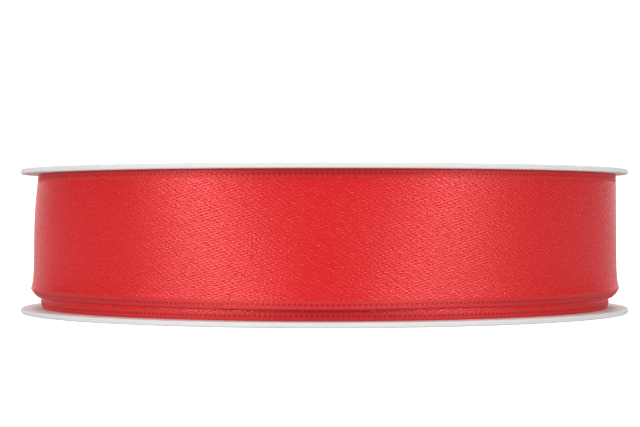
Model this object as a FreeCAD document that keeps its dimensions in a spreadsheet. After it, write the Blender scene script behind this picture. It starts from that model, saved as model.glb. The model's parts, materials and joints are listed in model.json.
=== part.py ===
import FreeCAD, Part
import Sketcher
import os

# A full spool of 25 mm satin ribbon, standing on one flange with its axis along +Z.
# Two identical moulded flanges plug into the ends of a core tube. The ribbon's first turn is taped to the
# core, and the wound turns rest on the lower flange. The outermost turn is loose: it has ridden up against
# the upper flange, stands off the turns below it and turns round them as ribbon is drawn off. Its last
# stretch is the tail, in three lengths with a bend between each, held down by a strip of clear tape.
# The origin is on the axis, in the plane of the lower flange's outer face. Units are millimetres.

DIMENSIONS = [
    ("flange_radius", 61.5, "outside radius of both flanges"),
    ("flange_thick", 1.0, "thickness of a flange's disc"),
    ("flange_gap", 26.7, "distance between the flanges' inner faces, and length of the core"),
    ("rim_round", 0.3, "rounding of the disc's outer edges"),
    ("bore_radius", 10.0, "hole for a display rod"),
    ("boss_wall", 1.6, "wall of the tube round the hole"),
    ("boss_sink", 1.2, "how far the boss lies below the flange's outer face"),
    ("boss_length", 8.0, "length of the boss"),
    ("label_inside", 30.0, "inside radius of the shallow ring for a label in the flange's outer face"),
    ("label_outside", 56.5, "outside radius of that ring"),
    ("label_depth", 0.2, "depth of that ring"),
    ("recess_depth", 5.0, "depth of the round recess in the flange's outer face"),
    ("floor_thick", 1.2, "thickness of the recess's floor"),
    ("plug_radius", 28.0, "outside radius of the wall that plugs into the core"),
    ("plug_wall", 1.2, "thickness of that wall"),
    ("rib_thick", 1.2, "thickness of the recess's four ribs"),
    ("rib_height", 2.4, "height of those ribs above the floor"),
    ("rib_root", 0.4, "how far a rib is let into the walls at its ends"),
    ("grip_radius", 0.8, "radius of the small round grips on the plug"),
    ("grip_proud", 0.45, "how far a grip stands out of the plug"),
    ("grip_short", 0.7, "how far a grip stops short of the plug's end"),
    ("core_inside", 28.5, "inside radius of the core tube"),
    ("core_wall", 1.5, "wall of the core tube"),
    ("core_bevel", 0.4, "bevel inside the core's ends"),
    ("ribbon_width", 25.0, "width of the ribbon"),
    ("ribbon_thick", 0.3, "thickness of the ribbon"),
    ("tape_thick", 0.1, "thickness of the clear tape"),
    ("tape_clear", 0.05, "space left on each side of the tape"),
    ("pack_radius", 57.7, "outside radius of the tightly wound turns"),
    ("turn_radius", 58.6, "inside radius of the loose outer turn where it starts"),
    ("turn_shift", 0.3, "offset between the centres of the outer turn's two half circles"),
    ("turn_lift", 2.6, "height of the outer turn's lower edge"),
    ("tail_angle", 20.0, "angle that each length of the tail covers"),
    ("tail_slit", 0.1, "angle left open at each bend of the tail"),
    ("end_tape_width", 18.0, "width of the tape over the tail's end, across the ribbon's length"),
    ("end_tape_angle", 28.0, "angle that this tape covers"),
    ("end_tape_lap", 15.0, "angle of it that lies on the tail"),
    ("start_tape_width", 20.0, "width of the tape under the first turn"),
    ("start_tape_angle", 55.0, "angle that this tape covers"),
]

TAIL_START = 90.0  # degrees round from +X, where the outer turn starts and, one turn later, the tail starts
RIBS = 4
RIB_START = 45.0
GRIPS = 12
HALF_TURN = 180.0


class Size:
    """A length or angle: its number, and the sheet formula that gives it."""

    def __init__(self, number, formula):
        self.number = number
        self.formula = formula

    def __add__(self, other):
        return Size(self.number + other.number, f"{self.formula} + {other.formula}")

    def __sub__(self, other):
        return Size(self.number - other.number, f"{self.formula} - ({other.formula})")

    def __mul__(self, factor):
        return Size(self.number * factor, f"({self.formula}) * {factor}")


def make_sheet(doc):
    """The spreadsheet of driving dimensions, and a Size for each alias."""
    sheet = doc.addObject("Spreadsheet::Sheet", "Dims")
    sizes = {}
    for row, (alias, number, meaning) in enumerate(DIMENSIONS, start=1):
        sheet.set(f"A{row}", alias)
        sheet.set(f"B{row}", str(number))
        sheet.set(f"C{row}", meaning)
        sheet.setAlias(f"B{row}", alias)
        sizes[alias] = Size(number, f"Dims.{alias}")
    return sizes


def bind(thing, path, size):
    thing.setExpression(path, size.formula)


def make_body(doc, label):
    body = doc.addObject("PartDesign::Body", label)
    body.Label = label
    return body


def make_sketch(body, name, role, lift=None, turned=0.0):
    """A sketch on one of the body's own planes, lifted along the plane's normal and turned about it."""
    sketch = body.newObject("Sketcher::SketchObject", name)
    plane = next(f for f in body.Origin.OriginFeatures if f.Role == role)
    sketch.AttachmentSupport = [(plane, "")]
    sketch.MapMode = "FlatFace"
    turn = FreeCAD.Rotation(FreeCAD.Vector(0, 0, 1), turned)
    sketch.AttachmentOffset = FreeCAD.Placement(FreeCAD.Vector(0, 0, 0), turn)
    if lift is not None:
        bind(sketch, "AttachmentOffset.Base.z", lift)
    return sketch


def fix_point(sketch, line, end, x, y):
    """Holds one end of a line at x, y, each a Size or None for zero."""
    for kind, size in (("DistanceX", x), ("DistanceY", y)):
        if size is None:
            index = sketch.addConstraint(Sketcher.Constraint(kind, line, end, 0.0))
        else:
            index = sketch.addConstraint(Sketcher.Constraint(kind, line, end, size.number))
            bind(sketch, f"Constraints[{index}]", size)


def draw_outline(sketch, points):
    """A closed outline of straight lines through points, each a pair of Sizes, or None for zero."""
    at = [FreeCAD.Vector(x.number if x else 0, y.number if y else 0, 0) for x, y in points]
    count = len(points)
    lines = [sketch.addGeometry(Part.LineSegment(at[i], at[(i + 1) % count])) for i in range(count)]
    for i, line in enumerate(lines):
        sketch.addConstraint(Sketcher.Constraint("Coincident", line, 2, lines[(i + 1) % count], 1))
    for line, (x, y) in zip(lines, points):
        fix_point(sketch, line, 1, x, y)


def draw_circle(sketch, radius, x=None):
    """A circle of a Size's radius, centred at x on the sketch's first axis."""
    centre = FreeCAD.Vector(x.number if x else 0, 0, 0)
    circle = sketch.addGeometry(Part.Circle(centre, FreeCAD.Vector(0, 0, 1), radius.number))
    index = sketch.addConstraint(Sketcher.Constraint("Radius", circle, radius.number))
    bind(sketch, f"Constraints[{index}]", radius)
    fix_point(sketch, circle, 3, x, None)


def revolve(body, sketch):
    solid = body.newObject("PartDesign::Revolution", "Revolution")
    solid.Profile = sketch
    solid.ReferenceAxis = (sketch, ["V_Axis"])
    solid.Angle = 360.0
    return solid


def pad(body, sketch, length):
    solid = body.newObject("PartDesign::Pad", "Pad")
    solid.Profile = sketch
    bind(solid, "Length", length)
    return solid


def repeat_round(body, feature, sketch, count):
    """Repeats a feature evenly round the axis through the sketch's origin."""
    pattern = body.newObject("PartDesign::PolarPattern", "Pattern")
    pattern.Originals = [feature]
    pattern.Axis = (sketch, ["N_Axis"])
    pattern.Angle = 360.0
    pattern.Occurrences = count
    body.Tip = pattern
    return pattern


def circles_at(feature, rings):
    """Names of the feature's whole circular edges at each (radius, height) in rings."""
    names = []
    for number, edge in enumerate(feature.Shape.Edges, start=1):
        if not isinstance(edge.Curve, Part.Circle) or not edge.isClosed():
            continue
        here = (edge.Curve.Radius, edge.Curve.Center.z)
        if any(abs(here[0] - r) < 1e-4 and abs(here[1] - z) < 1e-4 for r, z in rings):
            names.append(f"Edge{number}")
    if len(names) != len(rings):
        raise RuntimeError(f"{feature.Name}: {len(names)} edges found for {len(rings)} rings")
    return names


def dress(doc, body, kind, feature, rings, size):
    """A fillet or chamfer of a Size on the feature's circles at the given rings."""
    doc.recompute()
    done = body.newObject(f"PartDesign::{kind}", kind)
    done.Base = (feature, circles_at(feature, rings))
    bind(done, "Radius" if kind == "Fillet" else "Size", size)
    body.Tip = done
    return done


def make_flange(doc, label, size):
    """A moulded flange, its outer face in the plane z = 0 and its plug towards +Z.

    A round recess sinks into the outer face. Its side wall is the plug that grips the core, and a boss
    with the rod's hole stands on its floor, tied to the side wall by four ribs. A shallow ring round the
    recess keeps a label below the rim."""
    body = make_body(doc, label)
    boss_radius = size["bore_radius"] + size["boss_wall"]
    recess_radius = size["plug_radius"] - size["plug_wall"]
    floor_back = size["recess_depth"] + size["floor_thick"]
    boss_back = size["boss_sink"] + size["boss_length"]

    section = make_sketch(body, "Section", "XZ_Plane")
    draw_outline(
        section,
        [
            (size["bore_radius"], size["boss_sink"]),
            (boss_radius, size["boss_sink"]),
            (boss_radius, size["recess_depth"]),
            (recess_radius, size["recess_depth"]),
            (recess_radius, None),
            (size["label_inside"], None),
            (size["label_inside"], size["label_depth"]),
            (size["label_outside"], size["label_depth"]),
            (size["label_outside"], None),
            (size["flange_radius"], None),
            (size["flange_radius"], size["flange_thick"]),
            (size["plug_radius"], size["flange_thick"]),
            (size["plug_radius"], floor_back),
            (boss_radius, floor_back),
            (boss_radius, boss_back),
            (size["bore_radius"], boss_back),
        ],
    )
    turned = revolve(body, section)
    rounds = [
        (size["flange_radius"].number, 0.0),
        (size["flange_radius"].number, size["flange_thick"].number),
        (recess_radius.number, 0.0),
        (boss_radius.number, size["boss_sink"].number),
        (boss_radius.number, boss_back.number),
        (size["plug_radius"].number, floor_back.number),
    ]
    dress(doc, body, "Fillet", turned, rounds, size["rim_round"])

    half_rib = size["rib_thick"] * 0.5
    rib_in = boss_radius - size["rib_root"]
    rib_out = recess_radius + size["rib_root"]
    rib_sketch = make_sketch(
        body, "Rib", "XY_Plane", size["recess_depth"] - size["rib_height"], RIB_START
    )
    below = half_rib * -1.0
    draw_outline(rib_sketch, [(rib_in, below), (rib_out, below), (rib_out, half_rib), (rib_in, half_rib)])
    rib = pad(body, rib_sketch, size["rib_height"] + size["rib_root"])
    repeat_round(body, rib, rib_sketch, RIBS)

    grip_sketch = make_sketch(body, "Grip", "XY_Plane", size["flange_thick"] - size["rib_root"])
    draw_circle(
        grip_sketch, size["grip_radius"], size["plug_radius"] + size["grip_proud"] - size["grip_radius"]
    )
    grip_length = floor_back - size["flange_thick"] - size["grip_short"] + size["rib_root"]
    grip = pad(body, grip_sketch, grip_length)
    repeat_round(body, grip, grip_sketch, GRIPS)
    return body


def make_core(doc, label, size):
    """The tube that the ribbon is wound on, its lower end in the plane z = 0."""
    body = make_body(doc, label)
    outside = size["core_inside"] + size["core_wall"]
    section = make_sketch(body, "Section", "XZ_Plane")
    draw_outline(
        section,
        [
            (size["core_inside"], None),
            (outside, None),
            (outside, size["flange_gap"]),
            (size["core_inside"], size["flange_gap"]),
        ],
    )
    tube = revolve(body, section)
    ends = [(size["core_inside"].number, 0.0), (size["core_inside"].number, size["flange_gap"].number)]
    dress(doc, body, "Chamfer", tube, ends, size["core_bevel"])
    return body


def make_pack(doc, label, size):
    """All the tightly wound turns together, as one ring."""
    body = make_body(doc, label)
    ring = make_sketch(body, "Ring", "XY_Plane")
    inside = size["core_inside"] + size["core_wall"] + size["tape_thick"] + size["tape_clear"]
    draw_circle(ring, inside)
    draw_circle(ring, size["pack_radius"])
    pad(body, ring, size["ribbon_width"])
    return body


def make_outer_turn(doc, label, size):
    """The loose outermost turn: two half circles about different centres, its end outside its start."""
    body = make_body(doc, label)
    sketch = make_sketch(body, "Spiral", "XY_Plane")
    inner_start = size["turn_radius"]
    outer_start = inner_start + size["ribbon_thick"]
    wider = size["turn_shift"]

    def half_circle(radius, centre_y, begin, end):
        circle = Part.Circle(FreeCAD.Vector(0, centre_y, 0), FreeCAD.Vector(0, 0, 1), radius)
        return sketch.addGeometry(Part.ArcOfCircle(circle, begin, end))

    up, down, round_up = [FreeCAD.Units.Quantity(f"{a} deg").getValueAs("rad").Value for a in (90, 270, 450)]
    first_in = half_circle(inner_start.number, 0.0, up, down)
    first_out = half_circle(outer_start.number, 0.0, up, down)
    second_in = half_circle((inner_start + wider).number, wider.number, down, round_up)
    second_out = half_circle((outer_start + wider).number, wider.number, down, round_up)

    start, end, centre = 1, 2, 3
    origin, vertical_axis = -1, -2
    join = sketch.addConstraint
    join(Sketcher.Constraint("Coincident", first_in, centre, origin, 1))
    join(Sketcher.Constraint("Coincident", first_out, centre, origin, 1))
    join(Sketcher.Constraint("Coincident", first_in, end, second_in, start))
    join(Sketcher.Constraint("Coincident", first_out, end, second_out, start))
    join(Sketcher.Constraint("Coincident", second_in, centre, second_out, centre))
    for arc, point in (
        (first_in, start), (first_in, end), (first_out, start), (first_out, end),
        (second_in, centre), (second_in, end), (second_out, end),
    ):
        join(Sketcher.Constraint("PointOnObject", arc, point, vertical_axis))
    for arc, radius in ((first_in, inner_start), (first_out, outer_start)):
        index = join(Sketcher.Constraint("Radius", arc, radius.number))
        bind(sketch, f"Constraints[{index}]", radius)
    index = join(Sketcher.Constraint("DistanceY", second_in, centre, wider.number))
    bind(sketch, f"Constraints[{index}]", wider)

    for begin, finish, end_point in ((first_in, first_out, start), (second_in, second_out, end)):
        low = sketch.getPoint(begin, end_point)
        high = sketch.getPoint(finish, end_point)
        line = sketch.addGeometry(Part.LineSegment(low, high))
        join(Sketcher.Constraint("Coincident", line, 1, begin, end_point))
        join(Sketcher.Constraint("Coincident", line, 2, finish, end_point))
    pad(body, sketch, size["ribbon_width"])
    return body


def make_band(doc, label, inside, thick, width, angle):
    """A curved strip standing on its edge: part of a tube about the Z axis, starting at +X."""
    whole = doc.addObject("Part::Cylinder", label + "_outside")
    hole = doc.addObject("Part::Cylinder", label + "_inside")
    bind(whole, "Radius", inside + thick)
    bind(hole, "Radius", inside)
    bind(whole, "Angle", angle)
    for cylinder in (whole, hole):
        bind(cylinder, "Height", width)
    band = doc.addObject("Part::Cut", label)
    band.Label = label
    band.Base = whole
    band.Tool = hole
    return band


def place(thing, lift, degrees=0.0, flip=False):
    """Stands a piece at a height, turned about the Z axis, and upside down if flip is true."""
    turn = FreeCAD.Rotation(FreeCAD.Vector(0, 0, 1), degrees)
    if flip:
        turn = turn.multiply(FreeCAD.Rotation(FreeCAD.Vector(1, 0, 0), HALF_TURN))
    thing.Placement = FreeCAD.Placement(FreeCAD.Vector(0, 0, lift.number if lift else 0), turn)
    if lift is not None:
        bind(thing, "Placement.Base.z", lift)


def build(doc):
    """Every piece, in place."""
    size = make_sheet(doc)
    thick, gap, width = size["flange_thick"], size["flange_gap"], size["ribbon_width"]
    core_outside = size["core_inside"] + size["core_wall"]
    tail_inside = size["turn_radius"] + size["turn_shift"] * 2
    tail_outside = tail_inside + size["ribbon_thick"]
    pieces = []

    lower = make_flange(doc, "lower_flange", size)
    upper = make_flange(doc, "upper_flange", size)
    place(upper, thick + gap + thick, flip=True)
    core = make_core(doc, "core_tube", size)
    place(core, thick)
    pieces += [lower, upper, core]

    start_tape = make_band(
        doc, "start_tape", core_outside, size["tape_thick"],
        size["start_tape_width"], size["start_tape_angle"],
    )
    place(start_tape, thick + (width - size["start_tape_width"]) * 0.5, TAIL_START)
    pack = make_pack(doc, "wound_ribbon", size)
    place(pack, thick)
    outer_turn = make_outer_turn(doc, "outer_turn", size)
    place(outer_turn, size["turn_lift"])
    pieces += [start_tape, pack, outer_turn]

    for number, label in enumerate(("tail_root", "tail_middle", "tail_end")):
        length = make_band(
            doc, label, tail_inside, size["ribbon_thick"], width, size["tail_angle"] - size["tail_slit"]
        )
        begin = TAIL_START + number * size["tail_angle"].number + size["tail_slit"].number
        place(length, size["turn_lift"], begin)
        pieces.append(length)

    end_tape = make_band(
        doc, "end_tape", tail_outside + size["tape_clear"], size["tape_thick"],
        size["end_tape_width"], size["end_tape_angle"],
    )
    tail_tip = TAIL_START + 3 * size["tail_angle"].number
    side = (width - size["end_tape_width"]) * 0.5
    place(end_tape, size["turn_lift"] + side, tail_tip - size["end_tape_lap"].number)
    pieces.append(end_tape)
    return pieces


def check_and_write(doc, pieces):
    """Stops on a failed feature or a bad solid, then writes one STEP file per piece."""
    for thing in doc.Objects:
        if "Invalid" in thing.State or "Error" in thing.State:
            raise RuntimeError(f"{thing.Name} failed: {thing.State}")
    os.makedirs("parts", exist_ok=True)
    for piece in pieces:
        shape = piece.Shape
        if shape.isNull() or not shape.isValid() or not shape.Solids:
            raise RuntimeError(f"{piece.Label} has no valid solid")
        print(f"{piece.Label}: {len(shape.Solids)} solid, {shape.Volume:.1f} mm3, z {shape.BoundBox.ZMin:.2f}"
              f" to {shape.BoundBox.ZMax:.2f}, x {shape.BoundBox.XMin:.2f} to {shape.BoundBox.XMax:.2f}")
        shape.exportStep(f"parts/{piece.Label}.step")


document = FreeCAD.newDocument("RibbonSpool")
made = build(document)
document.recompute()
check_and_write(document, made)
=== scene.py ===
"""The ribbon spool's looks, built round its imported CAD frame."""

import json
import math

import bpy
import numpy as np
from mathutils import Matrix, Vector


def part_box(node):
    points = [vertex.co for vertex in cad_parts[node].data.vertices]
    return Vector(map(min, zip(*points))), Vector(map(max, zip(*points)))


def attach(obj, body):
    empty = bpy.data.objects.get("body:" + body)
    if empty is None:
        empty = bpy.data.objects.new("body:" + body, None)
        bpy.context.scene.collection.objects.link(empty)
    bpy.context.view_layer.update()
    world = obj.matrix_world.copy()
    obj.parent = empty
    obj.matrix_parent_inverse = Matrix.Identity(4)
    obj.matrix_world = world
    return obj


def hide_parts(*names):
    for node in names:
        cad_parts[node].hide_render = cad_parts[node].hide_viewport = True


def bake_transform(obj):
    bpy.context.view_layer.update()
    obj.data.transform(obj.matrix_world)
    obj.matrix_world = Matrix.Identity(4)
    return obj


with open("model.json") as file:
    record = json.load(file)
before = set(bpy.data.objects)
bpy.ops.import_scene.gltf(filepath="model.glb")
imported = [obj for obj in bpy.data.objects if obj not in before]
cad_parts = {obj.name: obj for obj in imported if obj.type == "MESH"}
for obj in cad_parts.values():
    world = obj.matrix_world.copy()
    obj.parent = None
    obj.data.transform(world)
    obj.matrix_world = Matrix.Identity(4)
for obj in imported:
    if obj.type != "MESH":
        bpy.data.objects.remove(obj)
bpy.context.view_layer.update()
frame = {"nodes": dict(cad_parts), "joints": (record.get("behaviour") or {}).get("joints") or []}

MM = 0.001


def corners_mm(node):
    """A CAD node's lowest and highest corners, in millimetres."""
    low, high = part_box(node)
    return low / MM, high / MM


pack_low, pack_high = corners_mm("wound_ribbon")
turn_low, turn_high = corners_mm("outer_turn")
tape_low, tape_high = corners_mm("end_tape")
core_high = corners_mm("core_tube")[1]
hinges = {joint["name"]: Vector(joint["pos_m"]) for joint in frame["joints"]}

# The ribbon. Lengths are in millimetres and angles in degrees, round from +X.
WIDTH = turn_high.z - turn_low.z
THICK = 0.26
EDGE_PINCH = 0.08  # how far the cloth's face and back close on each other at its two edges
END_HOLD = 0.01  # degrees: a narrow column at each end, which keeps the end cap from bending the shading
LENGTH = 25000.0
PACK_RADIUS = pack_high.x
CORE_RADIUS = core_high.x + 0.15
TURN_RADIUS = -turn_low.x
TAIL_RADIUS = hinges["tail_peel"].xy.length / MM
TURN_SHIFT = (TAIL_RADIUS - TURN_RADIUS) / 2
TURN_START, TURN_HALF, TURN_END, TAIL_END = 90.0, 270.0, 450.0, 510.0
TUCK_ANGLE, TUCK_DEPTH = 30.0, 0.55  # the turn's start lies under its own end, drawn in to the pack

# The selvedges: two rows of small weft loops along each edge of the ribbon.
LOOP_PITCH, LOOP_STEPS = 0.94, 5
LOOP_HEIGHT, LOOP_SPREAD = 0.05, 0.2
LOOP_ROWS = (0.55, 1.2)
SELVEDGE, RIDGE = 1.65, 1.75
STEP_WIDTH = 0.25  # the step between a selvedge and the satin beside it
UV_LAYER = "ribbon"


# ---------------------------------------------------------------- meshes


def smooth(x):
    x = np.clip(x, 0.0, 1.0)
    return x * x * (3 - 2 * x)


def end_cap(ring, across):
    """Triangles that close one end of a band, laid between its face and its back."""
    turn_back = int(np.argmax(across)) + 1
    face, face_at = ring[:turn_back], across[:turn_back]
    back, back_at = ring[turn_back:][::-1], across[turn_back:][::-1]
    triangles = []
    i = j = 0
    while i + j < len(ring) - 2:
        if j == len(back) - 1 or (i < len(face) - 1 and face_at[i + 1] <= back_at[j + 1]):
            triangles.append((face[i], face[i + 1], back[j]))
            i += 1
        else:
            triangles.append((face[i], back[j + 1], back[j]))
            j += 1
    return np.array(triangles)


def band_mesh(name, points, uvs):
    """A closed band from points in millimetres, indexed [column, place]: each column is a loop of places."""
    columns, places = points.shape[:2]
    index = np.arange(columns * places).reshape(columns, places)
    following = np.roll(index, -1, axis=1)
    sides = np.stack([index[:-1], index[1:], following[1:], following[:-1]], axis=-1).reshape(-1, 4)
    ends = np.concatenate([end_cap(index[0], uvs[0, :, 1]), end_cap(index[-1], uvs[-1, :, 1])[:, ::-1]])
    corners = np.concatenate([sides.ravel(), ends.ravel()])
    starts = np.concatenate([np.arange(len(sides)) * 4, sides.size + np.arange(len(ends)) * 3])

    mesh = bpy.data.meshes.new(name)
    mesh.vertices.add(columns * places)
    mesh.vertices.foreach_set("co", (points * MM).ravel())
    mesh.loops.add(len(corners))
    mesh.loops.foreach_set("vertex_index", corners)
    mesh.polygons.add(len(starts))
    mesh.polygons.foreach_set("loop_start", starts)
    mesh.polygons.foreach_set("use_smooth", np.arange(len(starts)) < len(sides))
    mesh.update(calc_edges=True)
    layer = mesh.uv_layers.new(name=UV_LAYER)
    layer.data.foreach_set("uv", uvs.reshape(-1, 2)[corners].ravel())
    assert not mesh.validate(), name
    made = bpy.data.objects.new(name, mesh)
    bpy.context.scene.collection.objects.link(made)
    return made


def face_places():
    """Places across the ribbon's face: close together in the selvedges, wider apart between them."""
    edge = np.concatenate([[0.0, 0.06], np.linspace(0.25, SELVEDGE, 8)])
    shoulder = np.array([RIDGE, 1.9, 2.2, 2.7, 3.6])
    middle = np.linspace(5.5, WIDTH - 2.5, 7)
    return np.concatenate([edge, shoulder, middle, WIDTH - edge[::-1]])


def back_places():
    """Places across the ribbon's back, from its upper edge down."""
    return np.array([WIDTH, WIDTH - 0.06, WIDTH - RIDGE, WIDTH * 0.7, WIDTH * 0.35, 3.6, RIDGE, 0.06, 0.0])


def selvedge_loops(along, across):
    """Height of the weft loops at a place along and across the ribbon."""
    from_edge = np.minimum(across, WIDTH - across)
    height = 0.0
    for number, row in enumerate(LOOP_ROWS):
        wave = 0.5 + 0.5 * np.cos(2 * np.pi * (along / LOOP_PITCH + 0.5 * number))
        height = height + wave**1.5 * np.exp(-(((from_edge - row) / LOOP_SPREAD) ** 2))
    return LOOP_HEIGHT * height


def at_edge(across):
    return (across == 0) | (across == WIDTH)


def ribbon_strip(name, start, end, outside, low, high):
    """A closed strip of ribbon from one angle to another.

    outside(angle, across) is its outer radius; low(angle) and high are the heights of its edges."""
    steps = math.ceil(math.radians(end - start) * PACK_RADIUS / LOOP_PITCH * LOOP_STEPS)
    holds = [start + END_HOLD, end - END_HOLD]
    angle = np.sort(np.append(np.linspace(start, end, steps + 1), holds))[:, None]
    along = np.radians(angle) * TURN_RADIUS
    face, back = face_places()[None], back_places()[None]
    face_radius = outside(angle, face) + selvedge_loops(along, face) - EDGE_PINCH * at_edge(face)
    back_radius = outside(angle, back) - THICK + EDGE_PINCH * at_edge(back)
    radius = np.concatenate([face_radius, back_radius], axis=1)
    across = np.broadcast_to(np.concatenate([face, back], axis=1), radius.shape)
    turn = np.radians(angle)
    height = low(angle) + across * (high - low(angle)) / WIDTH
    points = np.stack([radius * np.cos(turn), radius * np.sin(turn), height], axis=-1)
    uvs = np.stack([np.broadcast_to(along, radius.shape), across], axis=-1)
    return band_mesh(name, points, uvs)


# ---------------------------------------------------------------- the loose outer turn and its tail

TURN_LIFT, SIDE_LIFT = 0.5, 0.1  # the turn's lower edge above the CAD solid's, and more of it at the sides
EDGE_WAVES = ((0.05, 5, 1.0), (0.03, 11, 2.0))  # that edge's waves: height, number round the spool, phase
TOP_LIFT = 0.08  # the turn's upper edge above the CAD solid's
FRONT = 270.0
SIDE_FROM, SIDE_FADE = 0.3, 0.65  # the sides' share, by how far the place is to the left or right
BULGE, BULGE_FALL = 0.56, 2.3  # outwards at the front's lower edge, falling to a hollow at its upper edge
BULGE_REACH, BULGE_FADE, BULGE_WAVES = 80.0, 50.0, 6.5
CROWN = 0.04  # how much the front and back are rounded from edge to edge
FLARE, SIDE_FLARE, FLARE_REACH = 0.04, 0.58, 1.7  # outwards towards the ridge beside the lower selvedge
TUCK, SIDE_TUCK, TUCK_POWER = 0.1, 1.15, 1.6  # inwards below that ridge
SIDE_GROOVE, TOP_STEP = 0.18, 0.05  # the steps down to the lower and the upper selvedge
LEAN_FROM, LEAN, LEAN_SKEW = 0.45, 0.5, 0.42  # the sides lean in at the top, more so on the left
HINGE_CLEAR = 8.0  # degrees of ribbon on each side of the tail's first hinge


def turn_radius(angle):
    """Outer radius of the turn and its tail, before the cloth's own shape.

    The angle runs on past a full turn."""
    turn = np.radians(angle)
    wider = TURN_RADIUS + TURN_SHIFT
    second_half = TURN_SHIFT * np.sin(turn) + np.sqrt(wider**2 - (TURN_SHIFT * np.cos(turn)) ** 2)
    radius = np.where(angle <= TURN_HALF, TURN_RADIUS, second_half)
    radius = np.where(angle >= TURN_END, TAIL_RADIUS, radius)
    return radius - TUCK_DEPTH * smooth((TURN_START - angle) / TUCK_ANGLE)


def side_share(angle):
    """1 at the left and right of the spool, 0 at its front and back."""
    return smooth((np.abs(np.cos(np.radians(angle))) - SIDE_FROM) / SIDE_FADE)


def turn_low_edge(angle):
    """Height of the turn's lower edge, which waves a little and rises slightly at the sides."""
    turn = np.radians(angle)
    waves = sum(height * np.sin(number * turn + phase) for height, number, phase in EDGE_WAVES)
    return turn_low.z + TURN_LIFT + waves + SIDE_LIFT * side_share(angle)


def front_bulge(angle, across):
    """The loose turn is rounder at the front of its lower edge, and flatter at that of its upper edge."""
    from_front = np.abs(np.radians(angle - FRONT))
    near = smooth((math.radians(BULGE_REACH) - from_front) / math.radians(BULGE_FADE))
    wave = np.cos(np.minimum(BULGE_WAVES * from_front, math.pi))
    return BULGE * (1 - BULGE_FALL * across / WIDTH) * near * wave


def turn_outside(angle, across):
    """Outer radius of the loose turn: it leans in at the top, flares to a ridge and tucks in below it."""
    side = side_share(angle)
    crown = CROWN * (1 - side) * (2 * across / WIDTH - 1) ** 2
    flare = (FLARE + SIDE_FLARE * side) * np.exp(-np.maximum(across - RIDGE, 0) / FLARE_REACH)
    groove = SIDE_GROOVE * side * smooth((RIDGE - across) / STEP_WIDTH)
    tuck = (TUCK + SIDE_TUCK * side) * np.clip((RIDGE - across) / RIDGE, 0, 1) ** TUCK_POWER
    upper = np.clip((across / WIDTH - LEAN_FROM) / (1 - LEAN_FROM), 0, 1)
    lean = side * (LEAN - LEAN_SKEW * np.cos(np.radians(angle))) * upper**2
    top_step = TOP_STEP * smooth((across - WIDTH + RIDGE) / STEP_WIDTH)
    bulge = front_bulge(angle, across)
    return turn_radius(angle) + flare + bulge - crown - groove - tuck - lean - top_step


def turn_piece(name, start, end):
    return ribbon_strip(name, start, end, turn_outside, turn_low_edge, turn_high.z + TOP_LIFT)


outer_turn = turn_piece("ribbon_outer_turn", TURN_START - TUCK_ANGLE, TURN_END - HINGE_CLEAR)
tail_root = turn_piece("ribbon_tail_root", TURN_END - HINGE_CLEAR, TURN_END + 12)
tail_middle = turn_piece("ribbon_tail_middle", TURN_END + 12, TURN_END + 32)
tail_end = turn_piece("ribbon_tail_end", TURN_END + 32, TAIL_END)


# ---------------------------------------------------------------- the wound turns

WOUND_TURNS = round(LENGTH / (math.pi * (CORE_RADIUS + PACK_RADIUS))) - 2
FIRST_GAP = 0.05  # of a turn's pitch, between the core and the first turn
TURN_PITCH = (PACK_RADIUS - CORE_RADIUS) / (WOUND_TURNS + 2 - FIRST_GAP)
CLOTH_SHARE = 0.9  # of a turn's pitch; the rest is the gap to the next turn
SPIRAL_STEP = 5.0  # degrees
EDGE_LEAN, EDGE_LEAN_WIDTH = 0.3, 1.2
TIGHT_TOP_STEP = 0.07


def edge_lean(across):
    """How far the tight turns lean in at their lower edge."""
    return EDGE_LEAN * smooth((EDGE_LEAN_WIDTH - across) / EDGE_LEAN_WIDTH)


def wound_turns():
    """All the tight turns but the outermost, as one spiral strip of the ribbon's real length."""
    angle = np.arange(0, WOUND_TURNS * 360 + 1, SPIRAL_STEP)[:, None]
    inner = CORE_RADIUS + TURN_PITCH * (angle / 360 + FIRST_GAP)
    outer = inner + TURN_PITCH * CLOTH_SHARE
    turn = np.radians(angle + TURN_START)
    face = np.array([[0, EDGE_LEAN_WIDTH / 2, EDGE_LEAN_WIDTH, WIDTH]])
    lean = edge_lean(face) * (outer - CORE_RADIUS) / (PACK_RADIUS - CORE_RADIUS)
    radius = np.concatenate([outer - lean, (inner - lean)[:, ::-1]], axis=1)
    across = np.broadcast_to(np.concatenate([face, face[:, ::-1]], axis=1), radius.shape)
    points = np.stack([radius * np.cos(turn), radius * np.sin(turn), pack_low.z + across], axis=-1)
    uvs = np.stack([np.broadcast_to(np.radians(angle) * PACK_RADIUS, radius.shape), across], axis=-1)
    return band_mesh("ribbon_wound_turns", points, uvs)


def last_tight_radius(angle, across):
    """Outer radius of the outermost tight turn."""
    radius = PACK_RADIUS - TURN_PITCH * (1 - (angle - TURN_START) / 360)
    return radius - edge_lean(across) - TIGHT_TOP_STEP * smooth((across - WIDTH + RIDGE) / STEP_WIDTH)


def pack_low_edge(angle):
    return pack_low.z + 0 * angle


wound = wound_turns()
last_tight = ribbon_strip(
    "ribbon_last_tight_turn", TURN_START, TURN_END, last_tight_radius, pack_low_edge, pack_high.z
)


# ---------------------------------------------------------------- the tape that holds the tail down

TAPE_START, TAPE_END = 135.0, 163.0
TAPE_THICK, TAPE_CLEAR = 0.05, 0.02
TOOTH_DEPTH, TOOTH_WIDTH = 0.35, 0.6  # degrees and millimetres
DROP_FROM, DROP_WIDTH = 0.2, 1.8  # degrees past the tail's end over which the tape comes down to the turn


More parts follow.
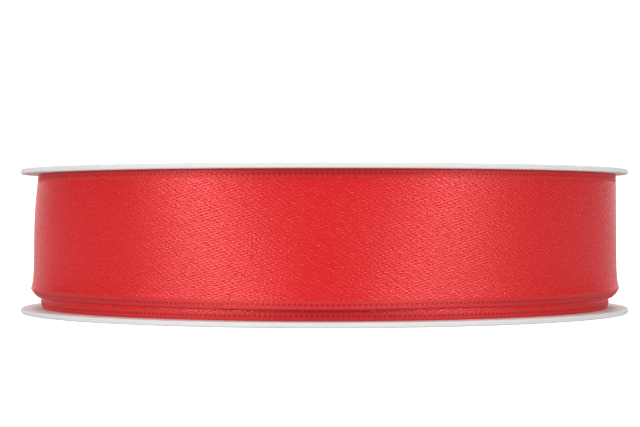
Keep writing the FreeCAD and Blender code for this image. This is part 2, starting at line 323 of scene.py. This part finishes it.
def tape_outside(angle, across):
    """Outer radius of the tape: over the tail, down its cut end, and on along the turn below it."""
    over_tail = turn_outside(angle + 360, across)
    on_turn = turn_outside(angle, across)
    down = smooth((angle + 360 - TAIL_END - DROP_FROM) / DROP_WIDTH)
    return over_tail * (1 - down) + on_turn * down + TAPE_CLEAR + TAPE_THICK


def end_tape_piece():
    """A short strip of clear tape whose two ends were cut on a toothed blade."""
    low_edge = turn_low.z + TURN_LIFT
    heights = np.linspace(tape_low.z, tape_high.z, 61)[None]
    teeth = TOOTH_DEPTH * np.abs((heights - heights[0, 0]) / TOOTH_WIDTH % 2 - 1)
    share = np.linspace(0, 1, 57)[:, None]
    angle = TAPE_START + teeth + share * (TAPE_END - TAPE_START - TOOTH_DEPTH)
    across = (heights - low_edge) * WIDTH / (turn_high.z - low_edge) + 0 * angle
    outer = tape_outside(angle, across)
    radius = np.concatenate([outer, (outer - TAPE_THICK)[:, ::-1]], axis=1)
    turn = np.radians(np.concatenate([angle, angle[:, ::-1]], axis=1))
    height = np.broadcast_to(np.concatenate([heights, heights[:, ::-1]], axis=1), radius.shape)
    points = np.stack([radius * np.cos(turn), radius * np.sin(turn), height], axis=-1)
    uvs = np.stack([turn * TAIL_RADIUS, height], axis=-1)
    return band_mesh("tail_tape", points, uvs)


tail_tape = end_tape_piece()


# ---------------------------------------------------------------- materials


class Graph:
    """A material's node tree, with short calls for the nodes used here."""

    def __init__(self, name):
        self.material = bpy.data.materials.new(name)
        self.material.use_nodes = True
        self.tree = self.material.node_tree
        self.tree.nodes.clear()
        output = self.tree.nodes.new("ShaderNodeOutputMaterial")
        self.shader = self.tree.nodes.new("ShaderNodeBsdfPrincipled")
        self.tree.links.new(self.shader.outputs[0], output.inputs["Surface"])

    def node(self, kind, inputs=(), **settings):
        made = self.tree.nodes.new(kind)
        for key, value in settings.items():
            setattr(made, key, value)
        for key, value in dict(inputs).items():
            self.feed(made.inputs[key], value)
        return made

    def feed(self, socket, value):
        if isinstance(value, bpy.types.NodeSocket):
            self.tree.links.new(value, socket)
        else:
            socket.default_value = value

    def math(self, operation, a, b=0.0, c=0.0, clamp=False):
        made = self.node("ShaderNodeMath", operation=operation, use_clamp=clamp)
        for socket, value in zip(made.inputs, (a, b, c)):
            self.feed(socket, value)
        return made.outputs[0]

    def vector(self, operation, a, b, output=0):
        made = self.node("ShaderNodeVectorMath", {0: a, 1: b}, operation=operation)
        return made.outputs[output]

    def mix(self, share, a, b):
        made = self.node("ShaderNodeMix", data_type="RGBA")
        self.feed(made.inputs["Factor"], share)
        self.feed(made.inputs["A"], a)
        self.feed(made.inputs["B"], b)
        return made.outputs["Result"]

    def ramp(self, share, stops):
        made = self.node("ShaderNodeValToRGB", {0: share})
        elements = made.color_ramp.elements
        while len(elements) < len(stops):
            elements.new(0.5)
        for element, (place, colour) in zip(elements, stops.items()):
            element.position = place
            element.color = colour
        return made.outputs["Color"]

    def noise(self, vector, scale, detail=2.0, roughness=0.5, output="Factor"):
        made = self.node("ShaderNodeTexNoise", {"Vector": vector, "Scale": scale, "Detail": detail,
                                                "Roughness": roughness})
        return made.outputs[output if output in made.outputs else "Fac"]

    def bump(self, height, strength, distance):
        made = self.node("ShaderNodeBump", {"Strength": strength, "Distance": distance, "Height": height})
        return made.outputs[0]

    def set(self, **values):
        for key, value in values.items():
            self.feed(self.shader.inputs[key.replace("_", " ")], value)


def rgb(red, green, blue):
    return (red, green, blue, 1.0)


# The satin's floats lie in slanting rows: slope in degrees, spacing in millimetres, and weight.
FLOAT_ROWS = ((16.5, 0.49, 1.0), (-35, 0.73, 0.6), (5, 0.385, 0.5))
FLOAT_DRIFT = 0.4  # millimetres that the rows wander
YARN_STRETCH = (2.6, 3.8, 1.0)


def satin_material():
    """Warp-faced satin: long floats along the ribbon, bound down in slanting rows, with looped selvedges.
    Its colour holds painted shade between the floats and loops, and painted glints on the floats.
    """
    g = Graph("red_satin")
    place = g.node("ShaderNodeUVMap", uv_map=UV_LAYER).outputs[0]
    parts = g.node("ShaderNodeSeparateXYZ", {0: place})
    along, across = parts.outputs["X"], parts.outputs["Y"]
    drift = g.noise(place, 0.35, output="Color")
    moved = g.vector("ADD", place, g.vector("MULTIPLY", drift, (FLOAT_DRIFT, FLOAT_DRIFT, 0)))

    floats = 0.0
    for slope, spacing, weight in FLOAT_ROWS:
        turn = math.radians(slope)
        normal = (-math.sin(turn) / spacing, math.cos(turn) / spacing, 0)
        phase = g.math("MULTIPLY", g.vector("DOT_PRODUCT", moved, normal, "Value"), 2 * math.pi)
        floats = g.math("MULTIPLY_ADD", g.math("SINE", phase), weight, floats)
    uneven = g.math("MULTIPLY_ADD", g.noise(place, 1.1, 2.0, 0.6), 4.0, -1.0)
    floats = g.math("MULTIPLY", floats, uneven)
    yarns = g.noise(g.vector("MULTIPLY", place, YARN_STRETCH), 1.0, 2.0, 0.6)
    height = g.math("MULTIPLY_ADD", g.math("SUBTRACT", yarns, 0.5), 9.0, floats)
    share = g.math("MULTIPLY_ADD", height, 0.175, 0.44, clamp=True)

    from_edge = g.math("MINIMUM", across, g.math("SUBTRACT", WIDTH, across))
    in_selvedge = g.math("LESS_THAN", from_edge, SELVEDGE)

    def spots(row, spread, phase):
        """A row of soft spots along the selvedge, one for each weft loop."""
        turn = g.math("MULTIPLY_ADD", along, 2 * math.pi / LOOP_PITCH, phase)
        wave = g.math("MULTIPLY_ADD", g.math("COSINE", turn), 0.5, 0.5)
        off = g.math("DIVIDE", g.math("SUBTRACT", from_edge, row), spread)
        near = g.math("EXPONENT", g.math("MULTIPLY", g.math("MULTIPLY", off, off), -1.0))
        return g.math("MULTIPLY", wave, near)

    loops = g.math("ADD", *(spots(row, LOOP_SPREAD * 1.3, math.pi * n) for n, row in enumerate(LOOP_ROWS)))
    # The dots: painted shade in the gaps between the weft loops.
    loop_gap_shade = spots(sum(LOOP_ROWS) / 2, LOOP_SPREAD, math.pi / 2)
    # The selvedge's colour: painted shade at the dots between the loops, and a little painted light where
    # the loops stand.
    selvedge_painted_light = g.math("MULTIPLY_ADD", loops, 0.1, g.math("MULTIPLY_ADD", loop_gap_shade, -1.1, 0.55), clamp=True)

    # The body's colour follows the weave: the gaps between floats are painted darker as shade, and the
    # highest floats paler pink as painted glints.
    body = g.ramp(share, {0.0: rgb(0.50, 0.000, 0.001), 0.4: rgb(0.69, 0.0015, 0.003),
                          0.7: rgb(0.84, 0.014, 0.019), 1.0: rgb(1.0, 0.080, 0.090)})
    edge = g.mix(selvedge_painted_light, rgb(0.40, 0.001, 0.002), rgb(0.82, 0.030, 0.034))
    relief = g.node("ShaderNodeMix", {"Factor": in_selvedge, "A": height, "B": loops}).outputs["Result"]
    tangent = g.node("ShaderNodeTangent", direction_type="UV_MAP", uv_map=UV_LAYER)

    gap = g.math("SUBTRACT", 1.0, share)
    roughness = g.math("MULTIPLY_ADD", g.math("MULTIPLY", gap, gap), 0.6, 0.19)
    roughness = g.math("MULTIPLY_ADD", in_selvedge, 0.2, roughness)

    g.set(Base_Color=g.mix(in_selvedge, body, edge), Roughness=roughness, Anisotropic=0.55,
          Anisotropic_Rotation=0.25, IOR=1.78, Specular_IOR_Level=1.0, Specular_Tint=rgb(1.0, 0.29, 0.29),
          Normal=g.bump(relief, 1.0, 0.01 * MM), Tangent=tangent.outputs[0])
    return g.material


def plastic_material():
    """White moulded polystyrene, slightly cloudy, with the fine grain of its mould."""
    g = Graph("white_plastic")
    place = g.node("ShaderNodeNewGeometry").outputs["Position"]
    cloud = g.noise(place, 60.0, 3.0)
    g.set(Base_Color=g.mix(cloud, rgb(0.72, 0.72, 0.72), rgb(0.79, 0.79, 0.785)),
          Roughness=g.math("MULTIPLY_ADD", cloud, 0.1, 0.52),
          Subsurface_Weight=0.15, Subsurface_Scale=MM, Subsurface_Radius=(1.0, 1.0, 1.0),
          Normal=g.bump(g.noise(place, 2200.0, 2.0), 0.12, 0.04 * MM))
    return g.material


def tape_material():
    """Clear tape, with the faint haze and creases of tape that was pressed down by hand."""
    g = Graph("clear_tape")
    place = g.node("ShaderNodeNewGeometry").outputs["Position"]
    haze = g.noise(place, 350.0, 3.0)
    g.set(Base_Color=g.mix(haze, rgb(0.80, 0.78, 0.75), rgb(0.90, 0.89, 0.86)),
          Roughness=g.math("MULTIPLY_ADD", haze, 0.25, 0.12), IOR=1.48, Alpha=0.1,
          Normal=g.bump(g.noise(place, 900.0, 2.0), 0.3, 0.2 * MM))
    return g.material


satin = satin_material()
plastic = plastic_material()
tape = tape_material()

for piece in (outer_turn, tail_root, tail_middle, tail_end, wound, last_tight):
    piece.data.materials.append(satin)
tail_tape.data.materials.append(tape)
for node, material in {"lower_flange": plastic, "upper_flange": plastic, "core_tube": plastic,
                       "start_tape": tape}.items():
    cad = frame["nodes"][node]
    cad.data.materials.clear()
    cad.data.materials.append(material)


# ---------------------------------------------------------------- riding


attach(outer_turn, "outer_turn")
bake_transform(tail_root)
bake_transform(tail_middle)
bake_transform(tail_end)
for piece in (wound, last_tight):
    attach(piece, "spool")
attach(tail_tape, "tail_end")
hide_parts("outer_turn")
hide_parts("tail_root")
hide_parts("tail_middle")
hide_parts("tail_end")
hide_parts("wound_ribbon")
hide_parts("wound_ribbon")
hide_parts("end_tape")


# ---------------------------------------------------------------- camera, floor and light

cam = bpy.data.objects.new("camera", bpy.data.cameras.new("camera"))
cam.data.lens = 105.5
cam.data.sensor_width = 36.0
cam.location = (-0.0009, -0.3847, 0.0196)
cam.rotation_euler = (math.radians(90.04), 0, 0)
bpy.context.scene.collection.objects.link(cam)
bpy.context.scene.camera = cam

LIGHT_DISTANCE = 0.9


def strip_light(name, foot, head, width, radiance):
    """A long soft light that leans.

    foot and head are its ends' azimuth and elevation in degrees, seen from the spool."""
    ends = []
    for azimuth, elevation in (foot, head):
        a, e = math.radians(azimuth), math.radians(elevation)
        towards = Vector((math.sin(a) * math.cos(e), -math.cos(a) * math.cos(e), math.sin(e)))
        ends.append(LIGHT_DISTANCE * towards)
    middle = (ends[0] + ends[1]) / 2
    upward = (ends[1] - ends[0]).normalized()
    sideways = upward.cross(middle).normalized()
    outward = sideways.cross(upward)
    light = bpy.data.lights.new(name, "AREA")
    light.shape = "RECTANGLE"
    light.size = width
    light.size_y = (ends[1] - ends[0]).length
    light.energy = radiance * math.pi * light.size * light.size_y
    made = bpy.data.objects.new(name, light)
    turn = Matrix((sideways, upward, outward)).transposed().to_4x4()
    made.matrix_world = Matrix.Translation(middle) @ turn
    made.visible_camera = False
    bpy.context.scene.collection.objects.link(made)


strip_light("left_light", foot=(-35, 1), head=(-53, 24), width=0.36, radiance=7.6)
strip_light("right_light", foot=(34, 1), head=(55, 24), width=0.36, radiance=6.3)
strip_light("rear_light", foot=(180, 25), head=(180, 60), width=0.9, radiance=1.1)


def make_world():
    """A white backdrop behind the spool and a dimmer studio round it.

    The camera itself sees plain white everywhere."""
    world = bpy.data.worlds.new("studio")
    bpy.context.scene.world = world
    world.use_nodes = True
    tree = world.node_tree
    sky = tree.nodes["Background"]
    sky.inputs["Color"].default_value = rgb(1, 1, 1)
    direction = tree.nodes.new("ShaderNodeTexCoord")
    parts = tree.nodes.new("ShaderNodeSeparateXYZ")
    tree.links.new(direction.outputs["Generated"], parts.inputs[0])

    def level(axis, start, end, dim, bright):
        """A brightness that rises smoothly as the direction turns towards an axis."""
        made = tree.nodes.new("ShaderNodeMapRange")
        made.interpolation_type = "SMOOTHSTEP"
        tree.links.new(parts.outputs[axis], made.inputs["Value"])
        for name, value in {"From Min": start, "From Max": end, "To Min": dim, "To Max": bright}.items():
            made.inputs[name].default_value = value
        return made.outputs[0]

    def combine(operation, a, b):
        made = tree.nodes.new("ShaderNodeMath")
        made.operation = operation
        tree.links.new(a, made.inputs[0])
        tree.links.new(b, made.inputs[1])
        return made.outputs[0]

    backdrop = level("Y", 0.7, 1.0, 0.05, 1.4)
    overhead = level("Z", 0.25, 0.9, 0.0, 0.85)
    seen = tree.nodes.new("ShaderNodeLightPath").outputs["Is Camera Ray"]
    strength = combine("MAXIMUM", seen, combine("ADD", backdrop, overhead))
    tree.links.new(strength, sky.inputs["Strength"])


make_world()

FLOOR_SIZE, FLOOR_DROP = 6.0, 0.00002
FLOOR_GLOW = 0.25  # light that the floor gives the spool; the camera sees the floor as plain white

bpy.ops.mesh.primitive_plane_add(size=FLOOR_SIZE, location=(0, 0, -FLOOR_DROP))
floor = bpy.context.object
floor.name = "floor"
g = Graph("pale_floor")
seen = g.node("ShaderNodeLightPath").outputs["Is Camera Ray"]
g.set(Base_Color=rgb(0.35, 0.35, 0.35), Roughness=0.9, Emission_Color=rgb(1, 1, 1),
      Emission_Strength=g.math("ADD", seen, FLOOR_GLOW))
floor.data.materials.append(g.material)

bpy.context.scene.view_settings.view_transform = "Standard"
